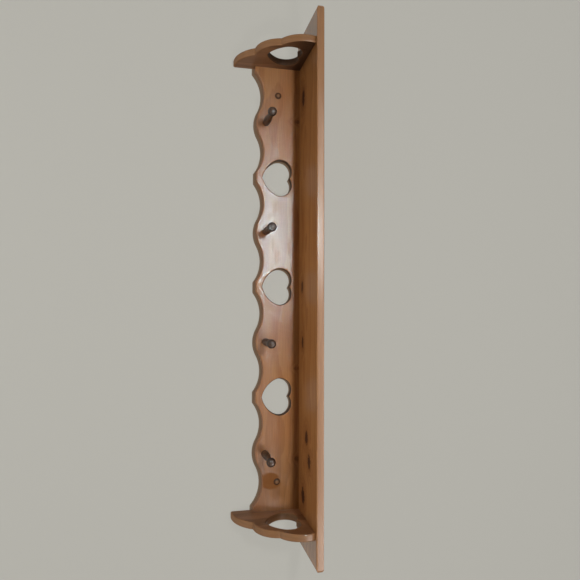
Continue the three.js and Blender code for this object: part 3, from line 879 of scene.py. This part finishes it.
def makeBackBoard():
    low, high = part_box("back_board")
    span = high.x - low.x
    pitch = centreOf("peg_2").x - centreOf("peg_1").x
    depth, fromHeart, drop = boardSizes["hollowDepth"], boardSizes["hollowFromHeart"], boardSizes["endDrop"]
    across = fromHeart - boardSizes["tabWidth"] / 2
    hollowRadius = (across ** 2 + depth ** 2) / (2 * depth)
    toCrest = pitch / 2 - fromHeart
    crestRadius = (toCrest ** 2 + depth ** 2) / (2 * depth) - hollowRadius
    bend = fromHeart + toCrest * hollowRadius / (hollowRadius + crestRadius)

    def sawnBoard(name, span, thickness, place, finish, heartLift=0.0):
        heart = [point + Vector((0, heartLift)) for point in heartOutline(0, boardSizes["heart"])]
        return runTree(scallopTree, name, {
            "Heart": outlineObject("heartLine", [heart]), "Hearts": boardSizes["hearts"], "Pitch": pitch,
            "Span": span, "Height": high.z - low.z - drop, "Thickness": thickness, "End Drop": drop,
            "Hollow Depth": depth, "Hollow Radius": hollowRadius, "Hollow From Heart": fromHeart,
            "Crest Radius": crestRadius, "Bend From Heart": bend, "Step": boardSizes["step"], "Place": place,
            "Finish": finish,
        })

    castShadow(sawnBoard, span)
    mesh = sawnBoard("boardStock", span, high.y - low.y, (0.0, high.y, underside), boardFinish)

    mesh = easeArrises(mesh, (0, 1, 0), boardSizes["arris"], lambda point:
                       point.z > underside - meshSizes["near"] or abs(point.x) > span / 2 - meshSizes["near"])
    through, counterbore = holeSizes["through"], holeSizes["wallCounterbore"]
    bores = lengthwiseBores(shelfScrewNodes[:4], (0, 0, 1), holeSizes["shelfScrew"])
    bores += lengthwiseBores(dowelNodes, (1, 0, 0))
    for node in pegNodes:
        place = (centreOf(node).x, 0, centreOf(node).z)
        bores.append((place, (0, 1, 0), [(boardSizes["tenonHole"], -through, through)]))
    for node in wallScrewNodes:
        steps = [(boardSizes["counterbore"], -holeSizes["clear"], counterbore),
                 (holeSizes["wallScrew"], counterbore, through)]
        bores.append((onFront(node), (0, 1, 0), steps))
    mesh = cutAndShade(mesh, boreCutter("boardBores", bores))
    asPiece("scallopedBackBoard", mesh, ["back_board"])


makeBackBoard()
print("back board made")

bracketSizes = {
    "arris": 0.0024,
    "step": 0.0012,
    "lower": {"radius": 0.064, "fromWall": 0.0025},
    "middle": {"radius": 0.0458, "fromWall": 0.0567, "belowShelf": 0.0447},
    "upper": {"radius": 0.0465, "belowShelf": 0.0135},
    "heart": {"halfWidth": 0.0352, "height": 0.0572, "lobeRadius": 0.022, "sideRadius": 0.058,
              "tipBelowShelf": 0.0692},
    "heartFromWall": 0.0625,
}


def bracketOutline(drop, reach):
    sizes, step = bracketSizes, bracketSizes["step"]
    lower = Vector((sizes["lower"]["fromWall"], sizes["lower"]["radius"] - drop))
    middle = Vector((sizes["middle"]["fromWall"], -sizes["middle"]["belowShelf"]))
    upper = Vector((reach - sizes["upper"]["radius"], -sizes["upper"]["belowShelf"]))
    radii = [sizes[name]["radius"] for name in ("lower", "middle", "upper")]
    lowerCusp = circlesCross(lower, radii[0], middle, radii[1], -1)
    upperCusp = circlesCross(middle, radii[1], upper, radii[2], -1)
    top = Vector((upper.x + math.sqrt(radii[2] ** 2 - upper.y ** 2), 0))
    outline = [Vector((0, 0)), Vector((0, -drop))]
    outline += arcBetween(lower, Vector((lower.x, -drop)), lowerCusp, step)
    outline += arcBetween(middle, lowerCusp, upperCusp, step)
    outline += arcBetween(upper, upperCusp, top, step)
    return outline + [top]


def makeBracket(node, name, finish):
    low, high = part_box(node)
    outline = bracketOutline(underside - low.z, -low.y)
    heart = heartOutline(bracketSizes["heartFromWall"], bracketSizes["heart"])
    turn = Matrix(((0, 0, -1), (-1, 0, 0), (0, 1, 0))).to_euler()
    mesh = cutPlank([outline, heart], high.x - low.x, tuple(turn), (high.x, 0.0, underside), finish)
    mesh = easeArrises(mesh, (1, 0, 0), bracketSizes["arris"], lambda point:
                       point.z > underside - meshSizes["near"] or point.y > -meshSizes["near"])
    bores = lengthwiseBores(shelfScrewNodes[4:], (0, 0, 1), holeSizes["shelfScrew"])
    bores += lengthwiseBores(dowelNodes, (1, 0, 0))
    asPiece(name, cutAndShade(mesh, boreCutter("bracketBores", bores)), [node])


makeBracket("bracket_left", "lobedBracketLeft", shadedLeftFinish)
makeBracket("bracket_right", "lobedBracketRight", rightFinish)
print("brackets made")

shelfSizes = {
    "arris": 0.0018, "endReach": 0.0085, "endSteps": 24, "cornerRadius": 0.007, "cornerStep": 0.0006,
    "clearance": 0.00002, "margin": 0.01,
    "grooveWidth": 0.0096, "grooveDepth": 0.005, "grooveFromWall": 0.038, "grooveEndMargin": 0.062,
    "grooveSteps": 16,
}


def grooveCutter(bm, shelfHigh):
    # the groove's plan is a slot with round ends; rings of it, ever narrower, go down to its floor
    radius, steps = shelfSizes["grooveWidth"] / 2, shelfSizes["grooveSteps"]
    axisHeight = shelfHigh.z - shelfSizes["grooveDepth"] + radius
    straight = shelfHigh.x - shelfSizes["grooveEndMargin"] - radius
    levels = [(radius, shelfHigh.z + holeSizes["clear"])]
    for i in range(steps):
        angle = math.pi / 2 * i / steps
        levels.append((radius * math.cos(angle), axisHeight - radius * math.sin(angle)))
    rings = []
    for width, height in levels:
        ring = []
        for side in (1, -1):
            for i in range(steps + 1):
                angle = math.pi * i / steps - math.pi / 2
                x = side * (straight + width * math.cos(angle))
                y = side * width * math.sin(angle) - shelfSizes["grooveFromWall"]
                ring.append(bm.verts.new((x, y, height)))
        rings.append(ring)
    skin(bm, rings)
    bm.faces.new(rings[0])
    bm.faces.new(rings[-1])


def roundEndedBar(low, high):
    # as long as the shelf and a hair thicker, with both ends rounded above and below
    turn, rise = shelfSizes["endReach"], high.z + shelfSizes["clearance"]
    steps, margin = shelfSizes["endSteps"], shelfSizes["margin"]
    outline = []
    for side in (1, -1):
        for i in range(steps + 1):
            angle = math.pi * (i / steps - 0.5)
            outline.append((side * (high.x - turn + turn * math.cos(angle)), side * rise * math.sin(angle)))
    return cutPlank([outline], 2 * margin - low.y, (math.pi / 2, 0.0, 0.0), (0.0, margin, 0.0), shelfFinish)


def makeShelf():
    low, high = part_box("shelf_board")
    turn = shelfSizes["cornerRadius"]
    outline = [Vector((high.x, 0)), Vector((low.x, 0))]
    for side in (-1, 1):
        middle = Vector((side * (high.x - turn), low.y + turn))
        outer, front = middle + Vector((side * turn, 0)), middle - Vector((0, turn))
        start, end = (outer, front) if side < 0 else (front, outer)
        outline += arcBetween(middle, start, end, shelfSizes["cornerStep"]) + [end]
    mesh = cutPlank([outline], high.z - low.z, (0.0, 0.0, 0.0), (0.0, 0.0, low.z), shelfFinish)
    mesh = easeArrises(mesh, (0, 0, 1), shelfSizes["arris"], lambda point: point.y > -meshSizes["near"])
    mesh = combined(mesh, roundEndedBar(low, high), "INTERSECT")
    counterbore = holeSizes["shelfCounterbore"]
    bores = []
    for node in plugNodes:
        place = (centreOf(node).x, centreOf(node).y, high.z)
        across = (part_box(node)[1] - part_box(node)[0]).x / 2 + holeSizes["fit"]
        bores.append((place, (0, 0, -1), [(across, -holeSizes["clear"], counterbore),
                                          (holeSizes["shelfScrew"], counterbore, holeSizes["through"])]))
    mesh = cutAndShade(mesh, boreCutter("shelfBores", bores, lambda bm: grooveCutter(bm, high)))
    asPiece("groovedShelf", mesh, ["shelf_board"])


makeShelf()
print("shelf made")


def makeTurnedTree():
    # lathe work: a drawn profile, with x as the radius and y as the height, is spun and put at each point
    tree, wires, given, result = newTree("turnedRow", "GeometryNodeTree", {
        "Object": ["Profile", "Places"], "Int": ["Sides"], "Rotation": ["Turn"], "Material": ["Finish"],
    }, {"Geometry": ["Row"]})
    profile = wires.drawing(given["Profile"])
    size = wires.add("GeometryNodeAttributeDomainSize", {"Geometry": profile}, component="CURVE")
    seam = wires.plus(given["Sides"], 1)
    grid = wires.shape("MeshGrid", {
        "Size X": 1.0, "Size Y": 1.0, "Vertices X": size.outputs["Point Count"], "Vertices Y": seam,
    })
    index = wires.shape("InputIndex")
    ring = wires.math("FLOOR", wires.over(wires.plus(index, 0.5), seam))
    side = wires.minus(index, wires.times(ring, seam))
    drawn = wires.shape("SampleIndex", {
        "Geometry": profile, "Index": ring, "Value": wires.shape("InputPosition"),
    }, data_type="FLOAT_VECTOR", domain="POINT")
    radius, height, _ = wires.separate(drawn)
    angle = wires.times(wires.over(side, given["Sides"]), -2 * math.pi)
    spun = wires.combine(wires.times(radius, wires.math("COSINE", angle)),
                         wires.times(radius, wires.math("SINE", angle)), height)
    shaped = wires.shape("SetPosition", {"Geometry": grid, "Position": spun})
    row = wires.shape("InstanceOnPoints", {
        "Points": wires.drawing(given["Places"]), "Instance": wires.merge(shaped), "Rotation": given["Turn"],
    })
    finishTree(wires, row, given["Finish"], result["Row"])
    return tree


turnedTree = makeTurnedTree()


def smoothThrough(points, steps):
    # a curve through all the points, as a spline with its end points doubled
    made = []
    last = len(points) - 1
    for i in range(steps + 1):
        place = i / steps * last
        at = min(int(place), last - 1)
        t = place - at
        a, b, c, d = (Vector(points[min(max(at + k, 0), last)]) for k in (-1, 0, 1, 2))
        straight, bend, turn = c - a, 2 * a - 5 * b + 4 * c - d, 3 * b - a - 3 * c + d
        made.append(0.5 * (2 * b + straight * t + bend * t ** 2 + turn * t ** 3))
    return made


def turnRow(name, profile, places, turn, finish, nodes, sides):
    mesh = runTree(turnedTree, name + "Blank", {
        "Profile": outlineObject(name + "Profile", [profile], closed=False),
        "Places": pointsObject(name + "Places", places), "Sides": sides, "Turn": turn, "Finish": finish,
    })

    def faceOutwards(bm):
        if bm.calc_volume(signed=True) < 0:
            bmesh.ops.reverse_faces(bm, faces=bm.faces)

    rework(mesh, faceOutwards)
    shadeSmooth(mesh)
    asPiece(name, mesh, nodes)


def turnForBoard(name, profile, nodes, sides):
    # these stand out of the back board's front
    places = [onFront(node) for node in nodes]
    turnRow(name, profile, places, (math.pi / 2, 0.0, 0.0), turnedFinish, nodes, sides)


pegSizes = {
    "tenonRadius": 0.0047, "chamfer": 0.0006, "baseRadius": 0.006, "swell": (0.0067, 0.019),
    "shoulder": (0.005, 0.037), "neckRadius": 0.0039, "neckLength": 0.0015, "neckStep": 0.0003,
    "knobRadius": 0.0079, "knobThickness": 0.013, "faceRadius": 0.0055, "faceRise": 0.0015,
    "ringRadius": 0.0045, "ringWidth": 0.0007, "ringDepth": 0.0005,
    "sides": 64, "stemSteps": 36, "knobSteps": 28, "ringSteps": 8,
}


def pegProfile(tenonEnd, tip):
    # heights are from the board's front
    s = pegSizes
    knobBack = tip - s["knobThickness"]
    stem = smoothThrough([(s["baseRadius"], holeSizes["fit"]), s["swell"], s["shoulder"],
                          (s["neckRadius"], knobBack - s["neckLength"])], s["stemSteps"])
    start = -math.acos((s["neckRadius"] + s["neckStep"]) / s["knobRadius"])
    stop = math.acos(s["faceRadius"] / s["knobRadius"])
    halfHeight = (s["knobThickness"] - s["faceRise"]) / (math.sin(stop) + 1)
    knob = []
    for i in range(s["knobSteps"] + 1):
        angle = start + (stop - start) * i / s["knobSteps"]
        knob.append((s["knobRadius"] * math.cos(angle), knobBack + halfHeight * (1 + math.sin(angle))))

    def onFace(radius, depth=0.0):
        return radius, tip - s["faceRise"] * (radius / s["faceRadius"]) ** 2 - depth

    ring = []
    for i in range(s["ringSteps"] + 1):
        share = i / s["ringSteps"]
        radius = s["ringRadius"] + s["ringWidth"] * (0.5 - share)
        ring.append(onFace(radius, s["ringDepth"] * math.sin(math.pi * share)))
    tenon = [(0, tenonEnd), (s["tenonRadius"] - s["chamfer"], tenonEnd),
             (s["tenonRadius"], tenonEnd + s["chamfer"]), (s["tenonRadius"], holeSizes["fit"])]
    face = [onFace(s["ringRadius"] * share) for share in (0.75, 0.5, 0.25, 0.0)]
    return tenon + stem + knob + ring + face


def makePegs():
    low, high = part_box(pegNodes[0])
    profile = pegProfile(boardFront - high.y, boardFront - low.y)
    turnForBoard("turnedPegs", profile, pegNodes, pegSizes["sides"])


makePegs()
buttonSizes = {"pinRadius": 0.0047, "sides": 48, "domeSteps": 12}


def makeButtons():
    low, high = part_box(buttonNodes[0])
    radius, pin, steps = (high.x - low.x) / 2, buttonSizes["pinRadius"], buttonSizes["domeSteps"]
    rim, top, pinEnd = holeSizes["fit"], boardFront - low.y, boardFront - high.y
    rise = top - rim
    dome = (radius ** 2 + rise ** 2) / (2 * rise)
    edge = math.asin(radius / dome)
    profile = [(0, pinEnd), (pin, pinEnd), (pin, rim), (radius, rim)]
    for i in range(1, steps + 1):
        angle = edge * (1 - i / steps)
        profile.append((dome * math.sin(angle), top - dome + dome * math.cos(angle)))
    turnForBoard("buttonPlugs", profile, buttonNodes, buttonSizes["sides"])


makeButtons()
plugSizes = {"chamfer": 0.0003, "sides": 40}


def makeShelfPlugs():
    low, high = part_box(plugNodes[0])
    radius, length, ease = (high.x - low.x) / 2, high.z - low.z, plugSizes["chamfer"]
    profile = [(0, -length), (radius, -length), (radius, -ease), (radius - ease, 0), (0, 0)]
    places = [(centreOf(node).x, centreOf(node).y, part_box(node)[1].z) for node in plugNodes]
    turnRow("shelfPlugs", profile, places, (0.0, 0.0, 0.0), plugFinish, plugNodes,
            plugSizes["sides"])


makeShelfPlugs()
print("turned work made")

for node in shelfScrewNodes + wallScrewNodes + dowelNodes:
    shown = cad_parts[node]
    shown.data.materials.clear()
    shown.data.materials.append(rawFinish if node in dowelNodes else steelFinish)

stageSizes = {
    "floorLevel": -0.9, "floor": tone(214, 210, 202), "floorGlow": 0.5, "floorRoughness": 0.9,
    "floorSheen": 0.1,
    "surround": tone(227, 222, 212), "surroundStrength": 0.09,
}
# Each lamp is its place, its size, its radiance and its colour, if it isn't white.
# The matte ones face the rack and light it; the mirrored ones face the wall and are only seen in the varnish.
matteLamps = {
    "keyLight": ((-0.28, -1.4, 0.13), (0.12, 0.12), 165),
    "rightLamp": ((0.5, -1.4, 0.15), (0.12, 0.12), 120),
    "lowFill": ((0.05, -0.16, -0.85), (1.3, 0.3), 1.4),
    "topLamp": ((0.1, 0.25, 2.2), (1.2, 0.5), 8),
    "backLamp": ((0.3, 2.2, 0.7), (1.2, 0.8), 7),
    "leftSide": ((-2.6, -0.05, 0.5), (0.3, 0.3), 40),
    "rightSide": ((2.6, -0.05, 0.5), (0.3, 0.3), 40),
}
mirroredLamps = {
    "brightStrip": ((-0.262, -1.4, 0.13), (0.12, 0.1), 345, (0.66, 0.93, 1.0)),
    "skylight": ((0.9, -1.42, 1.8), (1.7, 0.9), 12),
    "highPane": ((0.45, -1.41, 0.58), (0.8, 0.4), 3),
    "frontGlow": ((-0.2, -1.41, 0.5), (0.32, 0.3), 4.5),
    "sidePane": ((0.88, -1.43, 0.24), (0.12, 0.22), 2.5),
    "window": ((-0.42, -1.42, 0.83), (0.76, 1.0), 3.6),
    "rightWindow": ((1.5, -1.42, 0.83), (1.2, 1.0), 5),
    "roomRight": ((1.8, -2.0, 0.3), (1.54, 2.4), 0.6),
}


def makeLamp(name, mirrored, place, size, radiance, colour=(1.0, 1.0, 1.0)):
    data = bpy.data.lights.new(name, "AREA")
    data.shape = "RECTANGLE"
    data.size, data.size_y = size
    data.energy = radiance * math.pi * data.size * data.size_y
    data.color = colour
    light = placed(name, data)
    light.location = place
    away = Vector((0, -1, 0)) if mirrored else Vector(place)
    light.rotation_euler = away.to_track_quat("Z", "Y").to_euler()
    light.visible_camera = False
    light.visible_diffuse = not mirrored
    light.visible_glossy = mirrored


def makeStagePlane(name, corners, material):
    mesh = bpy.data.meshes.new(name)
    mesh.from_pydata(corners, [], [(0, 1, 2, 3)])
    mesh.materials.append(material)
    placed(name, mesh)


def makeFloorMaterial():
    material, wires, shader = startMaterial("paleFloor")
    wires.fill(shader, {
        "Base Color": stageSizes["floor"], "Emission Color": stageSizes["floor"],
        "Roughness": stageSizes["floorRoughness"], "Specular IOR Level": stageSizes["floorSheen"],
        "Emission Strength": wires.times(wires.seenRays(), stageSizes["floorGlow"]),
    })
    return material


def makeStage():
    reach = wallSizes["reach"]
    square = [(-reach, -reach), (reach, -reach), (reach, reach), (-reach, reach)]
    wallCorners = [(x, wallSizes["behind"], z) for x, z in square]
    floorCorners = [(x, y, stageSizes["floorLevel"]) for x, y in square]
    makeStagePlane("stageWall", wallCorners, makeWallMaterial("paleWall", wallSizes["tone"]))
    makeStagePlane("stageFloor", floorCorners, makeFloorMaterial())
    world = bpy.data.worlds.new("paleSurround")
    world.use_nodes = True
    wires = Wires(world.node_tree)
    wires.fill(world.node_tree.nodes["Background"], {
        "Color": stageSizes["surround"],
        "Strength": wires.most(wires.seenRays(), stageSizes["surroundStrength"]),
    })
    bpy.context.scene.world = world
    for lamps, mirrored in ((matteLamps, False), (mirroredLamps, True)):
        for name, settings in lamps.items():
            makeLamp(name, mirrored, *settings)
    bpy.context.scene.view_settings.view_transform = "Standard"


makeStage()
print("stage and light placed")
